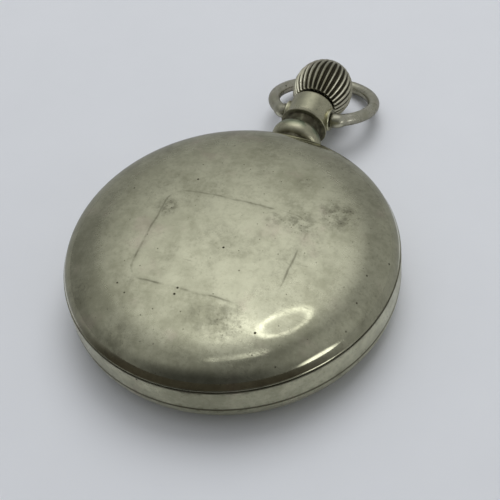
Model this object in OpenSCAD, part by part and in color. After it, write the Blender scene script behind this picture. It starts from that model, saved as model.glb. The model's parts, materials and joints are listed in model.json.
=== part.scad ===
// Open face pocket watch, 18 size, lying on its crystal.
// +Z is the back of the watch, +Y is the pendant, and the origin is the middle of the crystal's flat face.

/* [Case] */
// Outside diameter of the case
case_d = 57; // [56.5:0.25:57.5]
// Thickness over the crystal and the back
case_t = 17.8; // [17.6:0.1:18.2]
// Height of the joint between the case centre and the back
back_z = 9.73; // [9.6:0.05:9.8]
// Height of the joint between the bezel and the case centre
bezel_z = 5.2; // [5.1:0.05:5.3]
// Radius of the shoulder of the back
shoulder_r = 4.16; // [4:0.05:4.3]
// Wall of the back cover
wall = 0.9; // [0.8:0.05:1]
// Radius of the round edge of the bezel
bezel_round = 4.6; // [4.4:0.1:4.6]
// Diameter of the flat middle of the crystal
crystal_flat_d = 28; // [26:1:30]

/* [Pendant, crown and bow] */
// Height of the stem above the crystal's face
stem_z = 7.4; // [7.4:0.05:7.45]
// Radius of the pendant's barrel
pendant_r = 4.2; // [4.1:0.05:4.3]
// Distance from the case axis to the bow's pins
bow_y = 37.9; // [37.8:0.05:38]
// Radius of the bow's wire
bow_wire_r = 1.2; // [1.1:0.05:1.3]
// Droop of the bow at rest, in degrees
bow_droop = 20.6; // [20:0.1:20.8]
// Distance from the case axis to the middle of the crown
crown_y = 45.3; // [45.2:0.05:45.4]
// Largest radius of the crown
crown_r = 5.6; // [5.5:0.05:5.7]
// Number of ribs round the crown
crown_ribs = 30; // [24:1:32]

/* [Movement] */
// Diameter of the main plate
plate_d = 44.8; // [44.6:0.1:44.87]
// Diameter of the top plate
top_d = 41.2; // [41:0.1:41.4]
// Diameter of the dial
dial_d = 43.8; // [43.6:0.1:44]
// Diameter of the balance over its screws
balance_d = 15.4; // [15:0.1:15.6]
// Hour shown, counted in hours from twelve
show_hour = 10.143; // [0:0.001:12]

/* [Hidden] */
$fn = 96;

case_r = case_d / 2;
plate_r = plate_d / 2;
top_r = top_d / 2;

// The back: a dome that runs tangent into a round shoulder.
dome_h = case_t - back_z;
shoulder_x = case_r - shoulder_r;
dome_r = (shoulder_x * shoulder_x + dome_h * dome_h - shoulder_r * shoulder_r)
    / (2 * (dome_h - shoulder_r));
dome_z = case_t - dome_r;
dome_lean = atan2(shoulder_x, back_z - dome_z);

// Screwed joints of the case: a male rim on the case centre, a skirt on the back and on the bezel.
rim_r = 26.1;
rim_gap = 0.1;
rim_h = 1.5;
seat_r = 22.6;
ledge_r = 21.6;
ledge_z = 8.05;
ledge_top = 8.9;
bezel_front = bezel_z - bezel_round;
bezel_bore_r = 22.3;
crystal_edge_r = 22.7;
crystal_edge_z = 2.25;
crystal_edge_h = 0.6;
crystal_t = 1;

// Levels of the movement.
dial_z = 4.2;
dial_top = 5.2;
main_z = 6.2;
main_top = 8;
top_z = 10.5;
top_top = 11.6;
cock_z = 13.05;
cock_top = 13.85;

// Gear sizes: teeth and module.
barrel_teeth = 80;
barrel_m = 0.22;
center_leaves = 12;
center_teeth = 80;
center_m = 0.2;
third_leaves = 10;
third_teeth = 75;
third_m = 0.18;
fourth_leaves = 10;
fourth_teeth = 80;
fourth_m = 0.15;
escape_leaves = 8;
escape_teeth = 15;
escape_r = 3.6;
ratchet_teeth = 49;
crown_teeth = 40;
wind_m = 0.25;
pinion_teeth = 12;
face_teeth = 28;
face_m = 0.28;
cannon_leaves = 12;
minute_teeth = 36;
minute_m = 0.2;
minute_leaves = 10;
hour_teeth = 40;
hour_m = 0.192;
setting_teeth = 24;

// Places of the arbors, seen from the back.
barrel_dist = (barrel_teeth + center_leaves) * barrel_m / 2;
barrel_x = -8;
barrel_p = [barrel_x, sqrt(barrel_dist * barrel_dist - barrel_x * barrel_x)];
wind_dist = (ratchet_teeth + crown_teeth) * wind_m / 2;
crown_p = [0, barrel_p.y + sqrt(wind_dist * wind_dist - barrel_x * barrel_x)];
fourth_p = [0, -11];
third_dist = (center_teeth + third_leaves) * center_m / 2;
fourth_dist = (third_teeth + fourth_leaves) * third_m / 2;
third_y = (third_dist * third_dist - fourth_dist * fourth_dist + fourth_p.y * fourth_p.y) / (2 * fourth_p.y);
third_p = [sqrt(third_dist * third_dist - third_y * third_y), third_y];
escape_dist = (fourth_teeth + escape_leaves) * fourth_m / 2;
escape_a = 205;
escape_p = fourth_p + escape_dist * [cos(escape_a), sin(escape_a)];
balance_p = [-11, -5.5];
lever_a = angle_to(escape_p, balance_p);
lever_span = 30;
pallet_dist = escape_r / cos(lever_span);
pallet_p = escape_p + pallet_dist * [cos(lever_a), sin(lever_a)];
minute_dist = (cannon_leaves + minute_teeth) * minute_m / 2;
minute_a = 70;
minute_p = minute_dist * [cos(minute_a), sin(minute_a)];
setting_dist = (minute_teeth + setting_teeth) * minute_m / 2;
setting_p = [0, minute_p.y + sqrt(setting_dist * setting_dist - minute_p.x * minute_p.x)];
setting_a = angle_to(minute_p, setting_p);
setting_face = setting_a + 180 + 180 / setting_teeth
    - (minute_a + 180 - setting_a) * minute_teeth / setting_teeth;
click_p = barrel_p + 8.1 * [cos(190), sin(190)];
cock_foot = [-3.2, -17];
train_jewels = [third_p, fourth_p, escape_p, pallet_p];
pillar_angles = [52, 318, 206, 178];
pillar_dist = 18.4;
case_screw_angles = [20, 250];
dial_foot_angles = [100, 220, 340];

// Colours.
nickel = "#8f8c78";
gilt = "#c9a860";
steel = "#a9adb3";
blued = "#26356b";
ruby = "#a3264a";
enamel = "#f3f0e6";
brass = "#c8a24e";

function angle_to(a, b) = atan2(b.y - a.y, b.x - a.x);
function polar(r, a) = [r * cos(a), r * sin(a)];

// Outline of a toothed wheel: each tooth has a root, a pitch and a tip width, as parts of one pitch.
function tooth(n, m, i, cut) =
    [for (c = cut) polar(n * m / 2 + c[0] * m, 360 / n * (i + c[1] / 2))];
wheel_cut = [[-1.3, -0.56], [0, -0.46], [0.9, -0.18], [0.9, 0.18], [0, 0.46], [-1.3, 0.56]];
leaf_cut = [[-1.5, -0.34], [0, -0.4], [0.5, -0.26], [0.5, 0.26], [0, 0.4], [-1.5, 0.34]];
even_cut = [[-1.1, -0.6], [0, -0.44], [0.8, -0.24], [0.8, 0.24], [0, 0.44], [-1.1, 0.6]];

module teeth_2d(n, m, cut) {
    polygon([for (i = [0:n - 1]) each tooth(n, m, i, cut)]);
}

module at(p, z = 0) {
    translate([p.x, p.y, z]) children();
}

module disc(r, z0, z1) {
    translate([0, 0, z0]) cylinder(r = r, h = z1 - z0);
}

module ring(ro, ri, z0, z1) {
    difference() {
        disc(ro, z0, z1);
        disc(ri, z0 - 1, z1 + 1);
    }
}

// A flat bar with round ends of its own radii.
module link(a, ra, b, rb, z0, z1) {
    side = angle_to(a, b) + 90;
    lean = asin((ra - rb) / norm(b - a));
    at(a) disc(ra, z0, z1);
    at(b) disc(rb, z0, z1);
    translate([0, 0, z0]) linear_extrude(z1 - z0)
        polygon([
            a + polar(ra, side - lean), a + polar(ra, side - 180 + lean),
            b + polar(rb, side - 180 + lean), b + polar(rb, side - lean)]);
}

// A spoked wheel whose first tooth points at the angle face.
module wheel(p, n, m, cut, face, z0, z1, bore, spokes) {
    root = n * m / 2 - 1.5 * m;
    rim = root * 0.86;
    hub = bore + 0.16 * root;
    at(p, z0) rotate(face) linear_extrude(z1 - z0) difference() {
        teeth_2d(n, m, cut);
        circle(bore);
        if (spokes > 0)
            for (i = [0:spokes - 1]) rotate(i * 360 / spokes) intersection() {
                difference() {
                    circle(rim);
                    circle(hub);
                }
                polygon([
                    [0.1 * root, 0.07 * root], [3 * root, 0.07 * root],
                    polar(3 * root, 180 / spokes),
                    polar(3 * root, 360 / spokes - 3), polar(0.12 * root, 180 / spokes)]);
            }
    }
}

// A shaft of pinion leaves, with a gap facing the angle given.
module pinion(p, n, m, face, z0, z1, bore = 0) {
    at(p, z0) rotate(face + 180 / n) linear_extrude(z1 - z0) difference() {
        teeth_2d(n, m, leaf_cut);
        if (bore > 0) circle(bore);
    }
}

// The arbor between the two plates, with a thin pivot at each end.
pivot_r = 0.15;
jewel_hole_r = 0.19;
jewel_r = 0.85;
jewel_t = 0.5;
module arbor(p, r) {
    at(p) {
        disc(r, main_top + 0.05, top_z - 0.05);
        disc(pivot_r, main_top - jewel_t, top_z + jewel_t);
    }
}

// ---- Case ----

module back_half(t) {
    intersection() {
        translate([0, dome_z]) circle(dome_r - t, $fn = 360);
        polygon([
            [0, back_z], [shoulder_x, back_z],
            [shoulder_x, back_z] + 2 * shoulder_r * [sin(dome_lean), cos(dome_lean)],
            [0, back_z + 4 * shoulder_r]]);
    }
    intersection() {
        translate([shoulder_x, back_z]) circle(shoulder_r - t);
        translate([0, back_z]) square([case_r + 1, 2 * shoulder_r]);
    }
}

module back_cover() {
    skirt_r = rim_r + rim_gap;
    color(nickel) rotate_extrude($fn = 180) {
        difference() {
            back_half(0);
            back_half(wall);
        }
        intersection() {
            back_half(0);
            translate([skirt_r, back_z]) square([case_r - skirt_r, rim_h + 0.3]);
        }
    }
}

module case_center() {
    color(nickel) difference() {
        union() {
            ring(case_r, seat_r, bezel_z, back_z);
            ring(rim_r, rim_r - 1.5, back_z - 0.5, back_z + rim_h);
            ring(rim_r, rim_r - 1.5, bezel_z - rim_h, bezel_z + 0.5);
            ring(seat_r + 0.5, ledge_r, ledge_z, ledge_top);
        }
        translate([0, 0, stem_z]) rotate([-90, 0, 0]) cylinder(r = 1.35, h = case_r + 5);
    }
}

module bezel() {
    skirt_r = rim_r + rim_gap;
    color(nickel) rotate_extrude($fn = 180) difference() {
        union() {
            intersection() {
                translate([case_r - bezel_round, bezel_z]) circle(bezel_round);
                translate([0, 0]) square([case_r + 1, bezel_z]);
            }
            translate([bezel_bore_r, bezel_front + 0.45])
                square([case_r - bezel_round - bezel_bore_r, bezel_z - bezel_front - 0.45]);
        }
        translate([0, bezel_z - rim_h - rim_gap]) square([skirt_r, rim_h + 1]);
        translate([0, crystal_edge_z]) square([crystal_edge_r, crystal_edge_h]);
        translate([0, -1]) square([bezel_bore_r, case_t]);
    }
}

module crystal() {
    flat_r = crystal_flat_d / 2;
    color("#dfe8ea", 0.35) rotate_extrude($fn = 180)
        polygon([
            [0, 0], [flat_r, 0], [bezel_bore_r - 0.05, crystal_edge_z - 0.35],
            [bezel_bore_r - 0.05, crystal_edge_z], [crystal_edge_r, crystal_edge_z],
            [crystal_edge_r, crystal_edge_z + crystal_edge_h], [21.6, crystal_edge_z + crystal_edge_h],
            [flat_r, crystal_t], [0, crystal_t]]);
}

// ---- Pendant, sleeve, stem, crown and bow ----

sleeve_r = 2;
stem_r = 0.75;
pendant_end = 40.4;
bead_y = 30.9;
bead_r = 2;
bead_x = 2.95;
neck_r = 3.6;
barrel_y = 34.7;
hood_y = 37.2;
hood_round = 0.7;
ear_r = 2;
ear_x = 4.4;
bow_hole_r = 0.95;
module about_stem(y0 = 0) {
    translate([0, y0, stem_z]) rotate([-90, 0, 0]) children();
}

module pendant() {
    color(nickel) difference() {
        union() {
            about_stem() rotate_extrude() {
                translate([0, 26]) square([neck_r, bead_y - 26]);
                translate([0, bead_y - bead_r]) square([bead_x, 2 * bead_r]);
                translate([bead_x, bead_y]) circle(bead_r);
                translate([0, bead_y]) square([neck_r, barrel_y - bead_y + 0.5]);
                translate([0, barrel_y]) square([pendant_r, hood_y - barrel_y]);
                translate([0, hood_y - hood_round]) offset(r = hood_round) offset(delta = -hood_round)
                    square([pendant_r, pendant_end - hood_y + hood_round]);
            }
            translate([-ear_x, bow_y, stem_z]) rotate([0, 90, 0]) cylinder(r = ear_r, h = 2 * ear_x);
        }
        about_stem() cylinder(r = sleeve_r, h = 60);
        disc(case_r, 0, 20);
        disc(case_r + 0.1, back_z, 20);
        disc(case_r + 0.1, 0, bezel_z);
        for (s = [-1, 1])
            translate([s * ear_x, bow_y, stem_z]) rotate([0, 90, 0])
                cylinder(r = bow_hole_r, h = 3, center = true);
    }
}

module pendant_sleeve() {
    color(steel) about_stem() rotate_extrude() difference() {
        union() {
            translate([stem_r + 0.1, 29.5]) square([sleeve_r - stem_r - 0.1, 9]);
            translate([stem_r + 0.1, 29]) square([sleeve_r - stem_r - 0.4, 1]);
        }
        translate([0, 30]) square([1.3, 4]);
    }
}

stem_square = 0.86;
module stem() {
    color(steel) {
        about_stem(23) cylinder(r = stem_r, h = crown_back + 2.4 - 23);
        translate([-stem_square / 2, 20.4, stem_z - stem_square / 2])
            cube([stem_square, 2.8, stem_square]);
        about_stem(30.8) cylinder(r = 1.1, h = 0.9);
    }
}

crown_arc = 6.63;
crown_back = crown_y - 4.3;
crown_front = crown_y + 4.7;
module crown_2d(cut) {
    intersection() {
        translate([crown_r - crown_arc, crown_y]) circle(crown_arc - cut, $fn = 180);
        translate([0, crown_back + cut]) square([crown_r, crown_front - crown_back - 2 * cut]);
    }
}

module crown() {
    rib_h = 0.5;
    rib_a = 360 / crown_ribs;
    color(nickel) difference() {
        about_stem() {
            rotate_extrude() {
                crown_2d(rib_h);
                translate([0, crown_back]) square([3.9, 1]);
                translate([0, crown_front - 1]) square([3.3, 1]);
            }
            for (i = [0:crown_ribs - 1]) rotate((i - 0.28) * rib_a)
                rotate_extrude(angle = 0.56 * rib_a) intersection() {
                    crown_2d(0);
                    translate([crown_r / 2, 0]) square([crown_r, 60]);
                }
        }
        about_stem(crown_back - 1) cylinder(r = stem_r, h = 3.7);
        about_stem(crown_back - 1) cylinder(r = 3.6, h = 1.9);
    }
}

// The bow is a ring of round wire, open at the pendant, with a boss and a pin at each end.
bow_r = 9.56;
bow_reach = 17.57;
bow_center = bow_reach - bow_r;
bow_end_x = 5.25;
bow_end = acos(bow_end_x / bow_r);

module bow() {
    boss_in = ear_x + 0.1;
    boss_r = 1.55;
    pin_r = bow_hole_r - 0.05;
    color(nickel) translate([0, bow_y, stem_z]) rotate([-bow_droop, 0, 0]) {
        translate([0, bow_center, 0]) rotate([0, 0, -bow_end])
            rotate_extrude(angle = 180 + 2 * bow_end) translate([bow_r, 0]) circle(bow_wire_r);
        for (s = [0, 1]) mirror([s, 0, 0]) {
            translate([boss_in, 0, 0]) rotate([0, 90, 0]) cylinder(r = boss_r, h = 1);
            translate([ear_x - 1.2, 0, 0]) rotate([0, 90, 0]) cylinder(r = pin_r, h = 1.4);
        }
    }
}

// ---- Dial and hands ----

seconds_r = 5.4;
module dial() {
    color(enamel) {
        difference() {
            disc(dial_d / 2, dial_z, dial_top);
            disc(2, 0, 20);
            at(fourth_p) disc(0.6, 0, 20);
            at(fourth_p) disc(seconds_r, 0, dial_z + 0.3);
        }
        for (a = dial_foot_angles) at(polar(18.6, a)) disc(0.5, dial_top - 0.1, main_z + 1.2);
    }
}

// A hand's angle: zero at twelve, turning clockwise as the dial is read from its own side.
minutes = (show_hour - floor(show_hour)) * 60;
module hand_at(turn) {
    rotate(turn) children();
}

module hour_hand() {
    color(blued) hand_at(show_hour * 30) translate([0, 0, 3.1]) linear_extrude(0.22) difference() {
        union() {
            circle(1.5);
            polygon([[0.75, 1], [0.4, 8], [-0.4, 8], [-0.75, 1]]);
            translate([0, 8.9]) circle(1.35);
            polygon([[1.1, 9.6], [0, 13.2], [-1.1, 9.6]]);
        }
        circle(1.05);
    }
}

module minute_hand() {
    color(blued) hand_at(minutes * 6) translate([0, 0, 2.55]) linear_extrude(0.22) difference() {
        union() {
            circle(1.2);
            polygon([[0.6, 0.8], [0.3, 13.6], [-0.3, 13.6], [-0.6, 0.8]]);
            translate([0, 14.2]) circle(0.95);
            polygon([[0.8, 14.6], [0, 19.2], [-0.8, 14.6]]);
        }
        circle(0.62);
    }
}

module seconds_hand() {
    seconds = (minutes - floor(minutes)) * 60;
    color(blued) at(fourth_p) {
        hand_at(seconds * 6) translate([0, 0, 3.72]) linear_extrude(0.16) union() {
            circle(0.5);
            polygon([[0.18, -1.7], [0.08, 4.7], [-0.08, 4.7], [-0.18, -1.7]]);
        }
        ring(0.42, 0.24, 3.72, 4.4);
    }
}

// ---- Plates ----

stem_slot = 2.15;
block_z = 8.6;
lever_p = [4.3, 17.6];

module main_plate() {
    color(gilt) difference() {
        union() {
            disc(plate_r, main_z, main_top);
            translate([-2.6, 19.1, main_z]) cube([5.2, 2, block_z - main_z]);
            translate([-1.5, 12.7, main_z]) cube([3, 1, block_z - main_z - 0.2]);
        }
        disc(0.75, 0, 20);
        at(barrel_p) disc(8.6, main_z + 0.45, 20);
        at(barrel_p) disc(0.75, 0, 20);
        translate([-stem_slot, 13.7, 0]) cube([2 * stem_slot, 5.4, 20]);
        about_stem(12) cylinder(r = 0.62, h = 3);
        about_stem(19) cylinder(r = 1.12, h = 5);
        for (p = train_jewels) at(p) disc(jewel_r, main_top - jewel_t, 20);
        for (p = train_jewels) at(p) disc(jewel_hole_r * 2, 0, 20);
        at(balance_p) disc(jewel_r, main_top - jewel_t, 20);
        at(minute_p) disc(0.4, 0, 20);
        at(setting_p) disc(0.4, 0, 20);
        for (a = dial_foot_angles) at(polar(18.6, a)) disc(0.5, 0, 7.5);
        for (a = dial_foot_angles) dial_screw(a, 0.33, 0.1);
        for (a = pillar_angles) at(polar(pillar_dist, a)) disc(0.7, main_z + 0.2, 20);
        for (a = case_screw_angles) at(polar(21, a)) disc(0.5, 0, 20);
    }
}

module top_plate() {
    color(gilt) difference() {
        disc(top_r, top_z, top_top);
        at(barrel_p) disc(9.4, 0, 20);
        disc(0.6, 0, 20);
        for (p = train_jewels) at(p) disc(jewel_r, top_z, top_z + jewel_t);
        for (p = train_jewels) at(p) disc(0.45, top_z, 20);
        at(balance_p) disc(2.2, 0, 20);
        at(crown_p) disc(0.6, 0, 20);
        at(cock_foot) disc(0.6, 0, 20);
        for (a = pillar_angles) at(polar(pillar_dist, a)) {
            disc(0.6, 0, 20);
            disc(1.15, top_top - 0.5, 20);
        }
    }
}

module barrel_bridge() {
    color(gilt) difference() {
        intersection() {
            at(barrel_p) disc(9.3, top_z, top_top);
            disc(top_r, 0, 20);
        }
        at(barrel_p) disc(0.75, 0, 20);
        at(click_p) disc(0.5, 0, 20);
    }
}

module pillars() {
    color(gilt) for (a = pillar_angles) at(polar(pillar_dist, a)) {
        difference() {
            disc(1.4, main_top, top_z);
            disc(0.5, main_top + 0.8, 20);
        }
        disc(0.7, main_z + 0.2, main_top + 0.1);
    }
}

module screw(head_r, head_z, head_top, shank_r, shank_z, slot = 0.24) {
    difference() {
        union() {
            disc(head_r, head_z, head_top);
            disc(shank_r, shank_z, head_z + 0.01);
        }
        translate([-head_r - 1, -slot / 2, head_top - 0.22]) cube([2 * head_r + 2, slot, 1]);
    }
}

module plate_screws() {
    color(blued) for (a = pillar_angles)
        at(polar(pillar_dist, a)) rotate(a * 2) screw(1.1, top_top - 0.5, top_top - 0.05, 0.45, main_top + 1);
}

module case_screws() {
    color(blued) for (a = case_screw_angles)
        at(polar(21, a)) rotate(a) screw(1, ledge_top, ledge_top + 0.5, 0.45, main_z + 0.2);
}

// A grub screw from the plate's edge to the dial foot at angle a.
module dial_screw(a, r, more) {
    translate([0, 0, main_z + 0.9]) rotate(a) translate([19.12 - more, 0, 0]) rotate([0, 90, 0])
        cylinder(r = r, h = 3 + 4 * more);
}

module dial_screws() {
    color(blued) for (a = dial_foot_angles) dial_screw(a, 0.3, 0);
}

module plate_jewels() {
    color(ruby) {
        for (p = train_jewels) at(p) {
            ring(jewel_r, jewel_hole_r, main_top - jewel_t, main_top);
            ring(jewel_r, jewel_hole_r, top_z, top_z + jewel_t);
        }
        at(balance_p) ring(jewel_r, jewel_hole_r, main_top - jewel_t, main_top);
        ring(0.6, 0.42, top_z, top_top);
        at(balance_p) ring(0.9, jewel_hole_r, cock_z, cock_z + 0.5);
    }
}

// ---- Mainspring and winding ----

barrel_floor = 6.75;
barrel_deck = 8.1;
barrel_lid = 8.6;
wheel_z = 9.6;
wheel_top = 10.3;

module barrel() {
    color(brass) difference() {
        union() {
            at(barrel_p) disc(8.3, barrel_floor, barrel_lid);
            wheel(barrel_p, barrel_teeth, barrel_m, wheel_cut, angle_to(barrel_p, [0, 0]),
                barrel_deck, barrel_lid, 1, 0);
        }
        at(barrel_p) disc(7.8, barrel_floor + 0.3, 20);
        at(barrel_p) disc(0.95, 0, 20);
    }
}

module barrel_cover() {
    color(brass) at(barrel_p) ring(7.8, 0.95, barrel_lid - 0.3, barrel_lid);
}

module mainspring() {
    turns = 6;
    steps = 18;
    inner = 2.7;
    pitch = 0.78;
    strip = 0.3;
    span = [for (i = [0:turns * steps]) i / steps];
    outer_edge = [for (t = span) polar(inner + strip + pitch * t, 360 * t)];
    inner_edge = [for (t = span) polar(inner + pitch * t, 360 * t)];
    color(steel) at(barrel_p, 7.1) linear_extrude(1.1)
        polygon(concat(outer_edge, [for (i = [len(span) - 1:-1:0]) inner_edge[i]]));
}

module barrel_arbor() {
    color(steel) at(barrel_p) {
        disc(0.7, main_z + 0.02, top_top - 0.1);
        disc(0.88, barrel_floor - 0.1, wheel_z);
        disc(2.2, barrel_floor + 0.35, barrel_lid - 0.35);
        disc(1.3, barrel_lid + 0.08, wheel_z);
    }
}

module ratchet_wheel() {
    color(steel) wheel(barrel_p, ratchet_teeth, wind_m, even_cut, angle_to(barrel_p, crown_p),
        wheel_z, wheel_top, 0.7, 0);
}

module crown_wheel() {
    face_r = face_teeth * face_m / 2;
    face_w = 0.65;
    tooth_w = 0.26;
    color(steel) {
        wheel(crown_p, crown_teeth, wind_m, even_cut, angle_to(crown_p, barrel_p) + 180 / crown_teeth,
            wheel_z, wheel_top, 2.05, 0);
        at(crown_p) for (i = [0:face_teeth - 1]) rotate(90 + i * 360 / face_teeth)
            translate([face_r - face_w / 2, -tooth_w / 2, 8.86]) cube([face_w, tooth_w, 1]);
    }
}

module crown_wheel_core() {
    color(steel) at(crown_p) {
        disc(2, wheel_z - 0.05, top_z);
        disc(2.7, 9.35, wheel_z - 0.05);
        disc(0.6, top_z - 0.1, top_top - 0.1);
    }
}

module winding_arbor() {
    socket = 0.9;
    color(steel) difference() {
        union() {
            about_stem(12.75) cylinder(r = 0.58, h = 7);
            about_stem(19.2) cylinder(r = 1.05, h = 2.9);
        }
        translate([-socket / 2, 20.1, stem_z - socket / 2]) cube([socket, 5, socket]);
    }
}

module winding_pinion() {
    face_y = crown_p.y + face_teeth * face_m / 2;
    color(steel) difference() {
        union() {
            about_stem(face_y - 0.35) rotate(90 - 180 / pinion_teeth)
                linear_extrude(0.7) teeth_2d(pinion_teeth, face_m, leaf_cut);
            about_stem(face_y - 0.65) cylinder(r = 1.2, h = 0.4);
        }
        about_stem(face_y - 1) cylinder(r = 0.58, h = 3);
        for (i = [0:2]) about_stem(face_y - 0.65) rotate(i * 60)
            translate([-0.2, -2, -1]) cube([0.4, 4, 1.3]);
    }
}

module clutch() {
    teeth_y = crown_p.y + face_teeth * face_m / 2 - 0.65;
    color(steel) difference() {
        union() {
            about_stem(teeth_y - 1.9) cylinder(r = 1.35, h = 1.9);
            for (i = [0:2]) about_stem(teeth_y) rotate(i * 60) intersection() {
                translate([-0.16, -1.2, -0.5]) cube([0.32, 2.4, 0.75]);
                cylinder(r = 1.15, h = 1);
            }
        }
        about_stem(teeth_y - 3) cylinder(r = 0.61, h = 5);
        about_stem(teeth_y - 1.2) rotate_extrude() translate([0.95, 0]) square([1, 0.5]);
    }
}

module setting_lever() {
    lever_z = 8.1;
    color(steel) {
        difference() {
            link(lever_p, 1, lever_p + [2.6, 1.5], 0.6, lever_z, lever_z + 0.5);
            at(lever_p) disc(0.4, 0, 20);
        }
        difference() {
            link(lever_p, 1, lever_p + [-1.7, -2.2], 0.45, lever_z, lever_z + 0.5);
            at(lever_p) disc(0.4, 0, 20);
        }
    }
}

module setting_wheel() {
    color(steel) {
        wheel(setting_p, setting_teeth, minute_m, even_cut,
            setting_face, 5.85, 6.1, 0.3, 0);
        at(setting_p) disc(0.36, 5.6, main_z + 1);
    }
}

module click() {
    tip_r = ratchet_teeth * wind_m / 2 + 0.8 * wind_m + 0.06;
    nose = barrel_p + polar(tip_r, 196);
    nose_back = barrel_p + polar(tip_r + 0.5, 203);
    color(steel) difference() {
        union() {
            at(click_p) disc(0.9, wheel_z, wheel_top - 0.1);
            translate([0, 0, wheel_z]) linear_extrude(0.6)
                polygon([click_p + polar(0.85, 100), nose, nose_back, click_p + polar(0.85, 280)]);
        }
        at(click_p) disc(0.42, 0, 20);
    }
}

module click_spring() {
    tail = barrel_p + polar(9.2, 165);
    color(steel) {
        link(tail, 0.5, click_p + polar(1.15, 110), 0.12, wheel_z + 0.1, wheel_z + 0.5);
        at(tail) disc(0.5, wheel_z + 0.1, top_z);
        at(click_p) disc(0.38, wheel_z - 0.1, top_top - 0.1);
    }
}

// ---- Going train ----

center_wheel_z = 9.05;
third_wheel_z = 9.65;
fourth_wheel_z = 8.3;
train_t = 0.28;

module center_wheel() {
    color(gilt) wheel([0, 0], center_teeth, center_m, wheel_cut, angle_to([0, 0], third_p),
        center_wheel_z, center_wheel_z + train_t, 0.7, 5);
}

module center_pinion() {
    color(steel) {
        pinion([0, 0], center_leaves, barrel_m, angle_to([0, 0], barrel_p), 8.06, 8.75);
        disc(0.7, 8.06, 10.1);
        disc(0.38, 2.6, top_top - 0.1);
    }
}

module third_wheel() {
    color(gilt) wheel(third_p, third_teeth, third_m, wheel_cut, angle_to(third_p, fourth_p),
        third_wheel_z, third_wheel_z + train_t, 0.35, 5);
}

module third_pinion() {
    color(steel) {
        pinion(third_p, third_leaves, center_m, angle_to(third_p, [0, 0]), 8.9, 9.5);
        arbor(third_p, 0.35);
    }
}

module fourth_wheel() {
    color(gilt) wheel(fourth_p, fourth_teeth, fourth_m, wheel_cut, angle_to(fourth_p, escape_p),
        fourth_wheel_z, fourth_wheel_z + train_t, 0.3, 5);
}

module fourth_pinion() {
    color(steel) {
        pinion(fourth_p, fourth_leaves, third_m, angle_to(fourth_p, third_p), 9.45, 10.1);
        arbor(fourth_p, 0.3);
        at(fourth_p) disc(pivot_r, 4.05, main_top);
    }
}

escape_z = 9;
module escape_wheel() {
    rim = 2.5;
    color(steel) at(escape_p, escape_z) rotate(lever_a + 14) linear_extrude(0.35) difference() {
        union() {
            circle(2.9);
            for (i = [0:escape_teeth - 1]) rotate(i * 360 / escape_teeth)
                polygon([polar(2.8, 2), polar(escape_r, 8), polar(escape_r, 11), polar(2.8, 12)]);
        }
        difference() {
            circle(rim);
            circle(0.8);
            for (a = [0, 90]) rotate(a) square([2 * rim, 0.45], center = true);
        }
        circle(0.25);
    }
}

module escape_pinion() {
    color(steel) {
        pinion(escape_p, escape_leaves, fourth_m, angle_to(escape_p, fourth_p), 8.15, 8.75);
        arbor(escape_p, 0.25);
    }
}

module cannon_pinion() {
    color(steel) {
        pinion([0, 0], cannon_leaves, minute_m, minute_a, 5.82, 6.12, 0.38);
        ring(0.62, 0.38, 2.4, 6.12);
    }
}

module minute_wheel() {
    color(brass) {
        wheel(minute_p, minute_teeth, minute_m, wheel_cut, minute_a + 180, 5.85, 6.1, 0.3, 0);
        pinion(minute_p, minute_leaves, hour_m, minute_a + 180, 5.3, 5.85);
        at(minute_p) disc(0.36, 5.8, main_z + 1);
    }
}

module hour_wheel() {
    color(brass) {
        wheel([0, 0], hour_teeth, hour_m, wheel_cut, minute_a, 5.35, 5.65, 0.68, 0);
        ring(1.05, 0.68, 3.1, 5.65);
    }
}

// ---- Escapement and balance ----

fork_z = 9.42;
fork_top = 9.72;
roller_orbit = 1.55;
fork_reach = norm(balance_p - pallet_p) - roller_orbit - 0.25;

// Drawn with the escape wheel towards -X and the balance towards +X.
module at_pallets() {
    at(pallet_p) rotate(lever_a) children();
}

module pallet_fork() {
    stone = stone_middle();
    color(steel) at_pallets() difference() {
        union() {
            disc(0.75, fork_z, fork_top);
            link([0, 0], 0.42, [fork_reach - 0.5, 0], 0.3, fork_z, fork_top);
            for (s = [-1, 1]) {
                link([0, 0], 0.45, [stone.x, s * stone.y], 0.36, fork_z, fork_top);
                translate([fork_reach - 0.6, s * 0.42 - 0.15, fork_z]) cube([0.6, 0.3, fork_top - fork_z]);
            }
            translate([fork_reach - 0.75, -0.57, fork_z]) cube([0.3, 1.14, fork_top - fork_z]);
        }
        disc(0.25, 0, 20);
        for (s = [-1, 1]) translate([stone.x, s * stone.y, 0]) rotate(-s * 30)
            translate([-0.5, -0.12, 0]) cube([0.6, 0.24, 20]);
    }
}

function stone_middle() = [-pallet_dist + (escape_r + 0.42) * cos(lever_span),
    (escape_r + 0.42) * sin(lever_span)];

module pallet_stones() {
    stone = stone_middle();
    color(ruby) at_pallets() for (s = [-1, 1])
        translate([stone.x, s * stone.y, escape_z + 0.05]) rotate(s * -30)
            translate([-0.32, -0.12, 0]) cube([0.42, 0.24, fork_top - escape_z]);
}

module pallet_arbor() {
    color(steel) arbor(pallet_p, 0.25);
}

module pallet_bridge() {
    foot = pallet_p + polar(5.6, 170);
    color(gilt) difference() {
        union() {
            link(pallet_p, 1.1, foot, 1.2, 9.85, 10.3);
            at(foot) disc(1.2, main_top, 10.3);
        }
        at(pallet_p) disc(0.45, 0, 20);
    }
}

module roller() {
    color(steel) at(balance_p) ring(1.9, 0.45, 9.82, 10.07);
    color(ruby) at(balance_p + polar(roller_orbit, lever_a + 180)) disc(0.18, 9.45, 9.84);
}

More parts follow.
